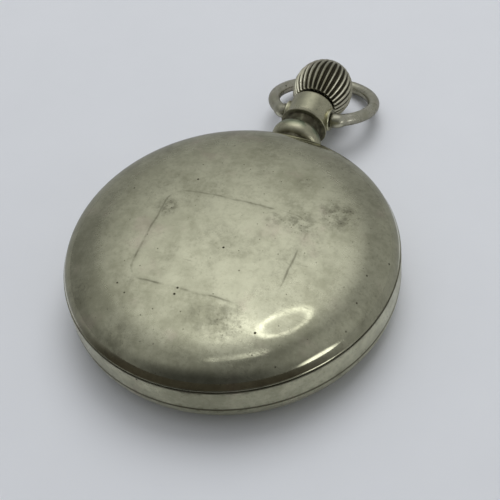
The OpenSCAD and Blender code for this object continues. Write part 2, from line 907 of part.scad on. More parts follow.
balance_z = 11.8;
module balance_wheel() {
    rim_out = balance_d / 2 - 0.5;
    color(gilt) at(balance_p, balance_z) difference() {
        union() {
            ring(rim_out, rim_out - 0.75, 0, 0.7);
            disc(0.95, 0.08, 0.5);
            rotate(lever_a + 70) translate([-rim_out + 0.4, -0.4, 0.1]) cube([2 * rim_out - 0.8, 0.8, 0.35]);
        }
        disc(0.5, -1, 2);
    }
}

module balance_screws() {
    rim_out = balance_d / 2 - 0.5;
    color(brass) at(balance_p, balance_z + 0.35)
        for (i = [0:13]) rotate(lever_a + 70 + i * 360 / 14 + 360 / 28)
            translate([rim_out - 0.02, 0, 0]) rotate([0, 90, 0]) cylinder(r = 0.33, h = 0.52);
}

module balance_staff() {
    color(steel) at(balance_p) {
        disc(0.45, 9.2, 10.4);
        disc(0.5, 10.4, 12.5);
        disc(0.3, 12.5, cock_z - 0.1);
        disc(0.3, main_top + 0.1, 9.2);
        disc(pivot_r, main_top - 0.4, cock_z + 0.4);
        ring(0.62, 0.3, 12.55, 12.85);
    }
}

module hairspring() {
    turns = 8;
    steps = 18;
    inner = 0.78;
    pitch = 0.34;
    strip = 0.1;
    span = [for (i = [0:turns * steps]) i / steps];
    outer_edge = [for (t = span) polar(inner + strip + pitch * t, 360 * t)];
    inner_edge = [for (t = span) polar(inner + pitch * t, 360 * t)];
    color(blued) at(balance_p, 12.58) linear_extrude(0.22)
        polygon(concat(outer_edge, [for (i = [len(span) - 1:-1:0]) inner_edge[i]]));
}

module hairspring_stud() {
    color(steel) at(balance_p + [3.85, 0]) disc(0.35, 12.5, cock_z);
}

module balance_cock() {
    color(gilt) difference() {
        union() {
            link(balance_p, 4.3, cock_foot, 2.9, cock_z, cock_top);
            at(cock_foot) disc(2.9, top_top, cock_top);
        }
        at(balance_p) disc(0.9, 0, cock_z + 0.5);
        at(balance_p) disc(0.5, 0, 20);
        at(cock_foot) {
            disc(0.6, 0, 20);
            disc(1.45, cock_top - 0.45, 20);
        }
    }
}

module balance_cock_screw() {
    color(blued) at(cock_foot) rotate(25) screw(1.4, cock_top - 0.45, cock_top, 0.55, top_z + 0.1, 0.3);
}

module regulator() {
    reg_a = 100;
    color(steel) at(balance_p) {
        ring(1.7, 1, cock_top + 0.02, cock_top + 0.3);
        rotate(reg_a) translate([1.6, -0.22, cock_top + 0.02]) cube([4, 0.44, 0.28]);
        rotate(reg_a + 180) translate([1.6, -0.3, cock_top + 0.02]) cube([1.6, 0.6, 0.28]);
    }
}

case_center();
pendant();
pendant_sleeve();
stem();
crown();
bow();
back_cover();
bezel();
crystal();
dial();
hour_hand();
minute_hand();
seconds_hand();
main_plate();
top_plate();
barrel_bridge();
pillars();
plate_screws();
plate_jewels();
case_screws();
dial_screws();
barrel();
barrel_cover();
mainspring();
barrel_arbor();
ratchet_wheel();
click();
click_spring();
crown_wheel();
crown_wheel_core();
winding_arbor();
winding_pinion();
clutch();
setting_lever();
setting_wheel();
center_wheel();
center_pinion();
third_wheel();
third_pinion();
fourth_wheel();
fourth_pinion();
escape_wheel();
escape_pinion();
cannon_pinion();
minute_wheel();
hour_wheel();
pallet_fork();
pallet_stones();
pallet_arbor();
pallet_bridge();
roller();
balance_wheel();
balance_screws();
balance_staff();
hairspring();
hairspring_stud();
balance_cock();
balance_cock_screw();
regulator();
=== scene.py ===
"""Open face pocket watch lying on its crystal, domed back up.

+Z is the back of the watch and +Y the pendant. Sizes are in millimetres
until a mesh is laid, which turns them into metres.
"""
import json
import math

import bmesh
import bpy
import numpy as np
from mathutils import Matrix, Vector


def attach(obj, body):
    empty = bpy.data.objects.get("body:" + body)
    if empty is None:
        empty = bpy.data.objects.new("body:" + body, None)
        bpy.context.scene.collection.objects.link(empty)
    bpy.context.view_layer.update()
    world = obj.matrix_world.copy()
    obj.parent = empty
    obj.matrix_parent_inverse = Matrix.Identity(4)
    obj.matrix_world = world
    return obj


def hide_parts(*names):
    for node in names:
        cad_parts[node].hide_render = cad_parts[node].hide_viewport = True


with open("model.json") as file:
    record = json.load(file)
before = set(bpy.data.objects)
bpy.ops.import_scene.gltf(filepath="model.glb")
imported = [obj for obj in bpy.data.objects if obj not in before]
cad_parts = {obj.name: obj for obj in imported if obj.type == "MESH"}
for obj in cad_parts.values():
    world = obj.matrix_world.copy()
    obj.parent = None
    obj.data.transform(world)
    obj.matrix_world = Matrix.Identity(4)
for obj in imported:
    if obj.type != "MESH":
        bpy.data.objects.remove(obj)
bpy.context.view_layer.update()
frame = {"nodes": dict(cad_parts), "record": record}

nodes = frame["nodes"]

# ---- Camera ----
# A hand-held view from above, turned so that the pendant points away to
# the right, with the watch a little left of the middle.

camera_turn = math.radians(30.27)
camera_rise = math.radians(50.0)
camera_roll = math.radians(-10.1)
camera_far = 208.5


def towards(turn, rise):
    """Unit vector at a turn round Z from the camera's side and a rise above the floor, both in degrees."""
    a, e = math.radians(turn) + camera_turn, math.radians(rise)
    return Vector((math.sin(a) * math.cos(e), -math.cos(a) * math.cos(e), math.sin(e)))


def aim(place, back, roll=0.0):
    """Matrix at place whose Z is back and whose X is level, then rolled about Z."""
    level = Vector((0, 0, 1)).cross(back).normalized()
    rise = back.cross(level)
    x = level * math.cos(roll) + rise * math.sin(roll)
    y = rise * math.cos(roll) - level * math.sin(roll)
    turned = Matrix((x, y, back)).transposed().to_4x4()
    turned.translation = place
    return turned


view_lens = bpy.data.cameras.new("view")
view_lens.lens = 85.98
view_lens.sensor_width = 36
view_lens.shift_x = 0.0262
view_lens.shift_y = 0.0803
view_lens.clip_start = 0.005
view_lens.clip_end = 20
view = bpy.data.objects.new("view", view_lens)
bpy.context.scene.collection.objects.link(view)
back_ray = towards(0, math.degrees(camera_rise))
view.matrix_world = aim(back_ray * camera_far * 0.001, back_ray, camera_roll)
bpy.context.scene.camera = view
bpy.context.scene.view_settings.view_transform = "Standard"

# ---- Studio light ----
# A pale room: a wide soft source above and behind, a round lamp near the
# top, a bright window low on the right, and a dark side where one stands.

sky = bpy.data.worlds.new("pale_room")
bpy.context.scene.world = sky
sky.use_nodes = True


def put(tree, kind, inputs=None, **settings):
    """Adds a node, sets its properties, and fills its inputs with values or links."""
    made = tree.nodes.new(kind)
    for key, value in settings.items():
        setattr(made, key, value)
    for key, value in (inputs or {}).items():
        socket = made.inputs[key]
        if isinstance(value, bpy.types.NodeSocket):
            tree.links.new(value, socket)
        else:
            socket.default_value = value
    return made


def sum_of(tree, how, first, second=0.0, third=None):
    """Result of one arithmetic step on numbers or sockets."""
    inputs = {0: first, 1: second}
    if third is not None:
        inputs[2] = third
    return put(tree, "ShaderNodeMath", inputs, operation=how).outputs[0]


def ramp(tree, value, low, high, floor=0.0, top=1.0):
    """Smooth step of a value from low to high, running from floor to top."""
    return put(tree, "ShaderNodeMapRange", {
        "Value": value, "From Min": low, "From Max": high, "To Min": floor, "To Max": top,
    }, interpolation_type="SMOOTHSTEP").outputs["Result"]


def gap(tree, first, second):
    """Difference of two numbers, without its sign."""
    return sum_of(tree, "ABSOLUTE", sum_of(tree, "SUBTRACT", first, second))


def share_along(tree, ray, way):
    """How much of a ray lies along a direction."""
    return put(tree, "ShaderNodeVectorMath", {0: ray, 1: way}, operation="DOT_PRODUCT").outputs["Value"]


def glow(tree, ray, turn, rise, inner, outer, strength):
    """Patch of sky at a direction: full strength within the inner angle and none past the outer one."""
    near = share_along(tree, ray, towards(turn, rise))
    return ramp(tree, near, math.cos(math.radians(outer)), math.cos(math.radians(inner)), 0.0, strength)


def oval_lamp(tree, ray, turn, rise, wide, tall, strength, heart):
    """Oval ring of light: the ray is measured across and up from the lamp's middle in shares of its size,
    and the ring is bright where that distance is a little under one, with a softer heart."""
    middle = towards(turn, rise)
    across = Vector((0, 0, 1)).cross(middle).normalized()
    up = middle.cross(across)
    x = share_along(tree, ray, across / math.sin(math.radians(wide)))
    y = share_along(tree, ray, up / math.sin(math.radians(tall)))
    away = sum_of(tree, "SQRT", sum_of(tree, "MULTIPLY_ADD", x, x, sum_of(tree, "MULTIPLY", y, y)))
    ring = ramp(tree, gap(tree, away, 0.9), 0.0, 0.24, strength, 0.0)
    return sum_of(tree, "ADD", ring, ramp(tree, away, 0.5, 1.1, heart, 0.0))


# turn, rise, inner and outer angle in degrees, and strength
sky_patches = [
    (176, 56, 6, 38, 0.32),
    (172, 70, 6, 42, 0.45),
    (180, 4, 5, 40, 0.12),
    (95, 25, 10, 70, 0.12),
    (52, 36, 5, 32, 0.08),
    (-110, 60, 5, 45, 0.17),
    (-150, 80.5, 2, 11, 0.75),
    (12, 73, 0.5, 5, 0.60),
    (-4, 73.4, 0.5, 5, 0.45),
    (-19, 72.4, 0.5, 5, 0.32),
    (-32, 70.5, 0.5, 5, 0.16),
    (-40, 68.3, 0.5, 4, 0.40),
    (-26, 6, 10, 54, -0.18),
    (39, 3, 5, 15, 2.2),
]
tree = sky.node_tree
tree.nodes.clear()
ray = put(tree, "ShaderNodeTexCoord").outputs["Generated"]
light = 0.25
for patch in sky_patches:
    light = sum_of(tree, "ADD", light, glow(tree, ray, *patch))
light = sum_of(tree, "ADD", light, oval_lamp(tree, ray, 112, 77.6, 7.6, 8.6, 1.4, 0.30))
light = sum_of(tree, "MAXIMUM", light, 0.02)
ground = put(tree, "ShaderNodeBackground", {"Color": (0.95, 0.97, 1.0, 1), "Strength": light})
put(tree, "ShaderNodeOutputWorld", {"Surface": ground.outputs[0]})

soft_box = bpy.data.lights.new("soft_box", "AREA")
soft_box.shape = "DISK"
soft_box.size = 0.5
soft_box.energy = 1.5
soft_box.color = (0.95, 0.97, 1.0)
lamp = bpy.data.objects.new("soft_box", soft_box)
bpy.context.scene.collection.objects.link(lamp)
lamp_ray = towards(150, 62)
lamp.matrix_world = aim(lamp_ray * 0.7, lamp_ray)
lamp.visible_glossy = False

# ---- Floor ----
# A matt pale board with a faint paper tooth. A card over it is seen only by
# reflections and is painted shade: black on the side where one stands and shades the room, grey elsewhere.


def lay(name, rows, round_first=True, round_second=True, crease=40):
    """Mesh over a grid of points in mm: a quad joins each four neighbours, the grid closes on itself where
    round_first or round_second says so, doubled points are merged, and faces point outwards."""
    rows = np.asarray(rows, float)
    n, m = rows.shape[:2]
    rows_joined, columns_joined = n if round_first else n - 1, m if round_second else m - 1
    i, j = np.meshgrid(np.arange(rows_joined), np.arange(columns_joined), indexing="ij")
    k, l = (i + 1) % n, (j + 1) % m
    quads = np.stack([i * m + j, i * m + l, k * m + l, k * m + j], -1).reshape(-1, 4)
    mesh = bpy.data.meshes.new(name)
    mesh.from_pydata((rows.reshape(-1, 3) * 0.001).tolist(), [], quads.tolist())
    return settle(name, mesh, crease)


def settle(name, mesh, crease=40):
    """Merges doubled points, turns faces outwards, shades smoothly with creases past an angle, and links the
    object."""
    work = bmesh.new()
    work.from_mesh(mesh)
    bmesh.ops.remove_doubles(work, verts=work.verts, dist=2e-7)
    bmesh.ops.dissolve_degenerate(work, dist=1e-8, edges=work.edges)
    bmesh.ops.recalc_face_normals(work, faces=work.faces)
    work.to_mesh(mesh)
    work.free()
    mesh.shade_smooth()
    mesh.set_sharp_from_angle(angle=math.radians(crease))
    made = bpy.data.objects.new(name, mesh)
    bpy.context.scene.collection.objects.link(made)
    return made


def finish_of(name):
    """New material with an empty node tree but for its shader, and its object coordinates."""
    made = bpy.data.materials.new(name)
    made.use_nodes = True
    shader = made.node_tree.nodes["Principled BSDF"]
    place = put(made.node_tree, "ShaderNodeTexCoord").outputs["Object"]
    return made, made.node_tree, shader, place


def noise(tree, place, scale, detail=4.0, rough=0.55, stretch=None, turn=0.0):
    """Noise of a size over coordinates that may first be stretched and turned about Z."""
    if stretch is not None:
        settings = {"Vector": place, "Rotation": (0, 0, math.radians(turn)), "Scale": stretch}
        place = put(tree, "ShaderNodeMapping", settings).outputs[0]
    settings = {"Vector": place, "Scale": scale, "Detail": detail, "Roughness": rough}
    return put(tree, "ShaderNodeTexNoise", settings).outputs["Fac"]


def blend_colours(tree, share, first, second):
    """Mix of two colours by a share."""
    made = put(tree, "ShaderNodeMix", data_type="RGBA")
    for key, value in ((0, share), (6, first), (7, second)):
        if isinstance(value, bpy.types.NodeSocket):
            tree.links.new(value, made.inputs[key])
        else:
            made.inputs[key].default_value = value
    return made.outputs[2]


def paint(tree, shader, share, first, second):
    """Gives a shader the mix of two colours by a share."""
    tree.links.new(blend_colours(tree, share, first, second), shader.inputs["Base Color"])


board_half, board_gap = 1500.0, 0.02
u, v = np.meshgrid([-board_half, board_half], [-board_half, board_half], indexing="ij")
floor = lay("floor_board", np.stack([u, v, u * 0 - board_gap], -1), False, False)
if floor.data.polygons[0].normal.z < 0:
    floor.data.flip_normals()
board, tree, shader, place = finish_of("pale_board")
paint(tree, shader, noise(tree, place, 60, 3), (0.80, 0.81, 0.83, 1), (0.84, 0.85, 0.87, 1))
shader.inputs["Roughness"].default_value = 0.75
shader.inputs["Specular IOR Level"].default_value = 0.25
floor.data.materials.append(board)

flag_inner, flag_outer, flag_height = 38.5, 1398.5, 0.4
turn = np.linspace(0, 2 * np.pi, 96, endpoint=False)[:, None]
out = flag_inner + (flag_outer - flag_inner) * np.linspace(0, 1, 12)[None, :] ** 3
flag_rows = np.stack([out * np.sin(turn), -out * np.cos(turn), flag_height + 0 * out * turn], -1)
flag = lay("painted_shade_flag", flag_rows, True, False)
painted_shade_card_finish, tree, shader, place = finish_of("painted_shade_card")
heading = put(tree, "ShaderNodeVectorMath", {0: place}, operation="NORMALIZE").outputs[0]
shade = glow(tree, heading, -24, 0, 38, 75, 1.0)
# The card's colour is painted shade: darkest towards the side where one stands, pale grey away from it.
paint(tree, shader, shade, (0.42, 0.42, 0.42, 1), (0.075, 0.064, 0.050, 1))
shader.inputs["Roughness"].default_value = 0.9
flag.data.materials.append(painted_shade_card_finish)
flag.visible_camera = flag.visible_diffuse = flag.visible_shadow = flag.visible_transmission = False

# ---- Back cover ----
# A plain domed back pressed from nickel silver sheet and screwed to the
# middle. Decades of pockets have dulled the dome and polished its edge; a
# paper label once stuck to it has left a faint outline, and it is pitted.

case_r = 28.5
back_seam = 9.73
front_seam = 5.2
case_top = 17.8
sheet = 0.9


def arc(x, y, r, start, end, steps):
    """Points on a circle about (x, y) from one angle to another, in degrees."""
    a = np.radians(np.linspace(start, end, steps))
    return np.stack([x + r * np.cos(a), y + r * np.sin(a)], -1)


def bend(first, first_out, last, last_in, steps):
    """Cubic through first and last, leaving and arriving along the two handle points."""
    t = np.linspace(0, 1, steps)[:, None]
    p = [np.asarray(q, float) for q in (first, first_out, last_in, last)]
    return (1 - t) ** 3 * p[0] + 3 * t * (1 - t) ** 2 * p[1] + 3 * t * t * (1 - t) * p[2] + t ** 3 * p[3]


def spin(profile, around, axis="Z", at=(0, 0, 0), bulge=None):
    """Each profile point (r, h) carried round an axis: r out from it and h along it. bulge, if given, is a
    function of profile row and angle that adds to r."""
    profile = np.asarray(profile, float)
    a = np.linspace(0, 2 * np.pi, around, endpoint=False)[None, :]
    r = profile[:, :1] + (0 if bulge is None else bulge(np.arange(len(profile))[:, None], a))
    h = profile[:, 1:2] + 0 * a
    side, other = r * np.cos(a), r * np.sin(a)
    grid = {"Z": (side, other, h), "Y": (side, h, other), "X": (h, side, other)}[axis]
    return np.stack(grid, -1) + np.asarray(at, float)


def soften(points, cut, steps=4):
    """A closed outline with each corner rounded: a curve starts cut before the corner, ends cut after it."""
    points = np.asarray(points, float)
    before, after = np.roll(points, 1, 0), np.roll(points, -1, 0)
    way_in, way_out = before - points, after - points
    length_in, length_out = np.linalg.norm(way_in, axis=1), np.linalg.norm(way_out, axis=1)
    c = np.minimum(cut, np.minimum(length_in, length_out) * 0.45)
    start = points + way_in / length_in[:, None] * c[:, None]
    end = points + way_out / length_out[:, None] * c[:, None]
    t = np.linspace(0, 1, steps)[None, :, None]
    curve = (1 - t) ** 2 * start[:, None] + 2 * t * (1 - t) * points[:, None] + t ** 2 * end[:, None]
    return curve.reshape(-1, 2)


dome_width, dome_fullness = 1.9, 0.401
wall_lean = 0.35


def dome(out, r, high):
    """Height of the dome: one less the share of the radius to a power, all to another power, times the
    rise."""
    return back_seam + high * (1 - np.clip(out / r, 0, 1) ** dome_width) ** dome_fullness


share = np.linspace(0, 1, 180)
dome_out = 28.48 * (1 - (1 - share) ** 1.9)
dome_line = np.stack([dome_out, dome(dome_out, case_r - 0.01, case_top - back_seam)], -1)
dome_line[:, 0] -= wall_lean * dome_out / case_r * (1 - np.exp((back_seam - dome_line[:, 1]) / 0.9))
skirt_line = np.array([
    [28.43, 0.35], [28.42, 0.12], [28.36, 0.04], [28.2, 0.02], [27.3, 0.02], [26.35, 0.02], [26.22, 0.12],
    [26.22, 1.55]]) + (0, back_seam)
dome_line = dome_line[dome_line[:, 1] > back_seam + 0.45]
inner_out = np.linspace(26.2, 0, 50)
inner_line = np.stack([inner_out, dome(inner_out, case_r - sheet, case_top - sheet - back_seam)], -1)
back_line = np.concatenate([dome_line, skirt_line, inner_line])
back_cover = lay("case_back", spin(back_line, 380), False, True, 35)


def nearest_on(tree, place, a, b):
    """Distance from a place to the straight line between a and b, in metres: the foot of the perpendicular
    is held between the ends."""
    a, b = Vector((*a, 0)) * 0.001, Vector((*b, 0)) * 0.001
    away = put(tree, "ShaderNodeVectorMath", {0: place, 1: a}, operation="SUBTRACT").outputs[0]
    along = share_along(tree, away, (b - a) / (b - a).length_squared)
    held = put(tree, "ShaderNodeClamp", {"Value": along}).outputs[0]
    foot = put(tree, "ShaderNodeVectorMath", {0: b - a, "Scale": held}, operation="SCALE").outputs[0]
    return put(tree, "ShaderNodeVectorMath", {0: away, 1: foot}, operation="DISTANCE").outputs["Value"]


def far_from(tree, place, x, y, z=0.0):
    """Distance from a place to a point given in mm, in metres."""
    point = (x * 0.001, y * 0.001, z * 0.001)
    return put(tree, "ShaderNodeVectorMath", {0: place, 1: point}, operation="DISTANCE").outputs["Value"]


def flat_place(tree, place):
    """The place with its height dropped."""
    parts = put(tree, "ShaderNodeSeparateXYZ", {0: place})
    return put(tree, "ShaderNodeCombineXYZ", {0: parts.outputs[0], 1: parts.outputs[1]}).outputs[0]


def hairlines(tree, place, scale, stretch, turn, thin):
    """Thin wandering lines where a stretched noise crosses its middle value, broken up by a wider noise."""
    wander = noise(tree, place, scale, 1.5, 0.4, stretch, turn)
    line = ramp(tree, gap(tree, wander, 0.5), 0.0, thin, 1.0, 0.0)
    gate = ramp(tree, noise(tree, place, scale * 1.7, 2), 0.52, 0.62)
    return sum_of(tree, "MULTIPLY", line, gate)


def spots(tree, place, scale, size, share):
    """Round pits: cells of a random size, of which only a share hold a spot."""
    cells = put(tree, "ShaderNodeTexVoronoi", {"Vector": place, "Scale": scale, "Randomness": 1.0})
    drawn = put(tree, "ShaderNodeSeparateColor", {0: cells.outputs["Color"]}).outputs[0]
    chosen = ramp(tree, drawn, 1 - share, 1 - share * 0.5)
    spot = ramp(tree, cells.outputs["Distance"], size * 0.4, size, 1.0, 0.0)
    return sum_of(tree, "MULTIPLY", spot, chosen)


def seam_dirt_and_shade(tree, place):
    """Dirt and painted shade along the two seams: a share that grows near their heights, broken up by noise,
    with a tight dark line in the seams themselves.
    """
    high = put(tree, "ShaderNodeSeparateXYZ", {0: place}).outputs[2]
    seams_middle, seams_half = (back_seam + front_seam) * 0.0005, (back_seam - front_seam) * 0.0005
    near = gap(tree, gap(tree, high, seams_middle), seams_half)
    band = ramp(tree, near, 0.0, 0.0011, 0.62, 0.0)
    gate = ramp(tree, noise(tree, place, 520, 5, 0.7), 0.46, 0.66)
    # A tight dark line right in the seams: painted shade.
    tight = ramp(tree, near, 0.00008, 0.0004, 0.72, 0.0)
    return sum_of(tree, "MAXIMUM", sum_of(tree, "MULTIPLY", band, gate), tight)


clean_nickel, tarnished_nickel = (0.58, 0.570, 0.410, 1), (0.40, 0.392, 0.270, 1)


def nickel_silver(
        name, rough, bright=clean_nickel, dull=tarnished_nickel, wear=1.0, tooth=1.0,
        dirt_and_shade_mask=None, marks=None, polish=None, green=None):
    """Worn nickel silver: a yellowish white metal that mottles as it tarnishes, with hairline scratches, fine
    grain and pits. wear deepens the scratches and tooth the grain. The dirt-and-shade function gives a share
    of dirt and painted shade, marks gives shares of dirt and of paleness, polish a share of gloss, and green
    a share of verdigris."""
    made, tree, shader, place = finish_of(name)
    broad = noise(tree, place, 95, 5, 0.6)
    patchy = noise(tree, place, 420, 5, 0.65)
    grain = noise(tree, place, 5200, 2, 0.5)
    wiped = noise(tree, place, 300, 4, 0.6, (1, 7, 1), 12)
    clouded = sum_of(tree, "MULTIPLY_ADD", patchy, 0.45, sum_of(tree, "MULTIPLY", broad, 0.6))
    tarnish = ramp(tree, clouded, 0.42, 0.66, 0.0, 0.85)
    colour = blend_colours(tree, tarnish, bright, dull)
    flecks = noise(tree, place, 1500, 4, 0.7)
    colour = blend_colours(tree, ramp(tree, flecks, 0.50, 0.70, 0.0, 0.62), colour, dull)
    colour = blend_colours(tree, ramp(tree, flecks, 0.30, 0.44, 0.35, 0.0), colour, bright)
    warm = ramp(tree, noise(tree, place, 150, 3), 0.56, 0.74, 0.0, 0.35)
    colour = blend_colours(tree, warm, colour, (0.60, 0.50, 0.41, 1))
    dirt = spots(tree, place, 480, 0.13, 0.2)
    dirt = sum_of(tree, "MAXIMUM", dirt, sum_of(tree, "MULTIPLY", spots(tree, place, 1300, 0.2, 0.10), 0.7))
    lines = hairlines(tree, place, 120, (1, 5, 1), 35, 0.006)
    lines = sum_of(tree, "MAXIMUM", lines, hairlines(tree, place, 160, (1, 6, 1), -25, 0.005))
    lines = sum_of(tree, "MAXIMUM", lines, hairlines(tree, place, 210, (1, 4, 1), 80, 0.006))
    if marks is not None:
        extra, pale = marks(tree, place)
        dirt = sum_of(tree, "MAXIMUM", dirt, extra)
        colour = blend_colours(tree, pale, colour, bright)
    # From here the dirt share carries painted shade as well as dirt, from the dirt-and-shade function.
    if dirt_and_shade_mask is not None:
        dirt = sum_of(tree, "MAXIMUM", dirt, dirt_and_shade_mask(tree, place))
    if green is not None:
        colour = blend_colours(tree, green(tree, place), colour, (0.16, 0.22, 0.13, 1))
    scuffed = sum_of(tree, "MULTIPLY", lines, 0.25 * wear)
    colour = blend_colours(tree, scuffed, colour, (0.30, 0.28, 0.20, 1))
    colour = blend_colours(tree, dirt, colour, (0.060, 0.052, 0.032, 1))
    tree.links.new(colour, shader.inputs["Base Color"])
    shader.inputs["Metallic"].default_value = 1.0
    gloss = sum_of(tree, "MULTIPLY_ADD", ramp(tree, broad, 0.35, 0.7), 0.10, rough)
    gloss = sum_of(tree, "MULTIPLY_ADD", sum_of(tree, "SUBTRACT", grain, 0.5), 0.16 * tooth, gloss)
    gloss = sum_of(tree, "MULTIPLY_ADD", sum_of(tree, "SUBTRACT", wiped, 0.5), 0.12, gloss)
    if polish is not None:
        left_dull = sum_of(tree, "MULTIPLY_ADD", polish(tree, place), -0.78, 1.0)
        gloss = sum_of(tree, "MULTIPLY", gloss, left_dull)
    gloss = sum_of(tree, "MULTIPLY_ADD", dirt, 0.35, gloss)
    gloss = sum_of(tree, "MULTIPLY_ADD", lines, 0.08 * wear, gloss)
    tree.links.new(gloss, shader.inputs["Roughness"])
    height = sum_of(tree, "MULTIPLY_ADD", dirt, -1.0, sum_of(tree, "MULTIPLY", grain, 0.10 * tooth))
    height = sum_of(tree, "MULTIPLY_ADD", lines, -0.35 * wear, height)
    height = sum_of(tree, "MULTIPLY_ADD", patchy, 0.35, height)
    bump = put(tree, "ShaderNodeBump", {"Strength": 0.35, "Distance": 0.00003, "Height": height})
    tree.links.new(bump.outputs[0], shader.inputs["Normal"])
    return made


label_middle = (0.8, -4.7)
label_half = (12.5, 9.8)
label_round = 3.0
label_rubbed_corner = (13.0, -14.2)
shake = 1.2
# x, y, radius
back_pits = [
    (1.8, 8.8, 0.28), (10.7, -0.9, 0.30), (15.9, -8.6, 0.24), (20.2, 6.1, 0.24), (10.3, 21.7, 0.26),
    (-6.2, -13.2, 0.32), (-9.9, -2.7, 0.24), (-11.2, 2.5, 0.24), (-21.7, -7.3, 0.26), (-2.4, -16.6, 0.22),
    (-24.1, 4.3, 0.30), (10.1, -20.5, 0.34), (8.0, -22.8, 0.36), (7.4, -23.2, 0.22), (6.1, -2.2, 0.2)]
# start, end, width, depth
back_scratches = [
    ((-13.0, 21.8), (-5.2, 16.4), 0.16, 0.5), ((-12.2, -3.2), (-10.4, 1.6), 0.2, 0.8),
    ((6.1, 11.0), (7.8, 13.8), 0.18, 0.55), ((7.8, 13.8), (9.9, 14.9), 0.18, 0.6),
    ((9.9, 14.9), (10.7, 12.9), 0.2, 0.6), ((12.9, 1.4), (13.6, -4.6), 0.18, 0.7),
    ((-24.6, -11.0), (-22.4, -9.0), 0.2, 0.5), ((18.6, -20.2), (20.2, -18.7), 0.22, 1.0)]
# x, y, radius, depth
back_smudges = [
    (17.6, 8.6, 4.8, 0.85), (12.2, 4.4, 4.0, 0.7), (8.2, 3.6, 2.6, 0.5), (-10.2, 1.4, 3.0, 0.8),
    (8.2, -17.0, 5.5, 0.5), (9.6, 13.6, 2.6, 0.45), (1.0, 19.5, 4.5, 0.4), (14.0, 21.5, 3.5, 0.5),
    (-19.0, -17.5, 5.0, 0.45), (-8.5, -24.0, 4.5, 0.5), (3.0, -23.5, 3.5, 0.35), (-4.0, 7.0, 3.5, 0.3)]


def shaken_place(tree, flat):
    """A flat place moved about by noise, by up to shake mm each way, so that lines drawn on it wander."""
    wobble = put(tree, "ShaderNodeTexNoise", {"Vector": flat, "Scale": 160.0, "Detail": 3.0}).outputs["Color"]
    settings = {0: wobble, "Scale": shake * 0.001}
    moved = put(tree, "ShaderNodeVectorMath", settings, operation="SCALE").outputs[0]
    return put(tree, "ShaderNodeVectorMath", {0: flat, 1: moved}, operation="ADD").outputs[0]


def past_label(tree, place):
    """How far a place lies outside the label's edge, in metres: the distance to a rectangle with round
    corners, which is less than nothing inside it."""
    middle = [(v + shake / 2) * 0.001 for v in label_middle] + [0.0]
    straight = [(v - label_round) * 0.001 for v in label_half] + [1.0]
    moved = put(tree, "ShaderNodeVectorMath", {0: place, 1: middle}, operation="SUBTRACT").outputs[0]
    folded = put(tree, "ShaderNodeVectorMath", {0: moved}, operation="ABSOLUTE").outputs[0]
    past = put(tree, "ShaderNodeVectorMath", {0: folded, 1: straight}, operation="SUBTRACT").outputs[0]
    outside = put(tree, "ShaderNodeVectorMath", {0: past, 1: (0, 0, 0)}, operation="MAXIMUM").outputs[0]
    reach = put(tree, "ShaderNodeVectorMath", {0: outside}, operation="LENGTH").outputs["Value"]
    parts = put(tree, "ShaderNodeSeparateXYZ", {0: past})
    within = sum_of(tree, "MINIMUM", sum_of(tree, "MAXIMUM", parts.outputs[0], parts.outputs[1]), 0.0)
    return sum_of(tree, "SUBTRACT", sum_of(tree, "ADD", reach, within), label_round * 0.001)


def back_marks(tree, place):
    """Dirt and paleness shares of the back's own marks: the label's outline is where its edge is near, pits
    and scratches are near points and short lines, and smudges are speckled patches."""
    flat = flat_place(tree, place)
    shaken = shaken_place(tree, flat)
    edge_off = past_label(tree, shaken)
    edge_near = sum_of(tree, "ABSOLUTE", edge_off)
    line = ramp(tree, edge_near, 0.00003, 0.00028, 1.0, 0.0)
    halo = ramp(tree, edge_near, 0.0, 0.0011, 1.0, 0.0)
    kept = ramp(tree, far_from(tree, shaken, *label_rubbed_corner), 0.003, 0.008)
    broken = sum_of(tree, "MULTIPLY", ramp(tree, noise(tree, flat, 190, 3), 0.36, 0.6), kept)
    dirt = sum_of(tree, "MULTIPLY", sum_of(tree, "MULTIPLY", line, broken), 0.34)
    dirt = sum_of(tree, "MULTIPLY_ADD", sum_of(tree, "MULTIPLY", halo, broken), 0.12, dirt)
    for x, y, r in back_pits:
        away = far_from(tree, shaken, x + shake / 2, y + shake / 2)
        dirt = sum_of(tree, "MAXIMUM", dirt, ramp(tree, away, r * 0.0005, r * 0.0014, 0.9, 0.0))
    for a, b, wide, deep in back_scratches:
        away = nearest_on(tree, shaken, np.add(a, shake / 2), np.add(b, shake / 2))
        dirt = sum_of(tree, "MAXIMUM", dirt, ramp(tree, away, wide * 0.0003, wide * 0.0014, deep, 0.0))
    mottle = ramp(tree, noise(tree, flat, 650, 6, 0.75), 0.40, 0.62, 0.10, 0.62)
    stain = sum_of(tree, "MULTIPLY_ADD", spots(tree, flat, 2300, 0.42, 0.4), 0.45, mottle)
    cloud = ramp(tree, noise(tree, flat, 110, 4, 0.6), 0.46, 0.62, 0.0, 0.3)
    dirt = sum_of(tree, "MAXIMUM", dirt, sum_of(tree, "MULTIPLY", stain, cloud))
    for x, y, r, deep in back_smudges:
        patch = ramp(tree, far_from(tree, shaken, x, y), r * 0.0003, r * 0.001, deep, 0.0)
        dirt = sum_of(tree, "MAXIMUM", dirt, sum_of(tree, "MULTIPLY", patch, stain))
    inside = ramp(tree, edge_off, -0.0008, 0.0003, 0.45, 0.0)
    pale = sum_of(tree, "MULTIPLY", inside, ramp(tree, noise(tree, flat, 260, 4), 0.3, 0.6))
    return dirt, pale


def back_polish(tree, place):
    """Gloss grows from the dull middle to the rubbed shoulder, and on the lower right where thumbs rest."""
    flat = flat_place(tree, place)
    rim = ramp(tree, far_from(tree, flat, 0.0, 0.0), 0.019, 0.0255)
    thumb = ramp(tree, far_from(tree, flat, 18.0, -16.5), 0.005, 0.0115, 1.0, 0.0)
    return sum_of(tree, "MAXIMUM", rim, thumb)


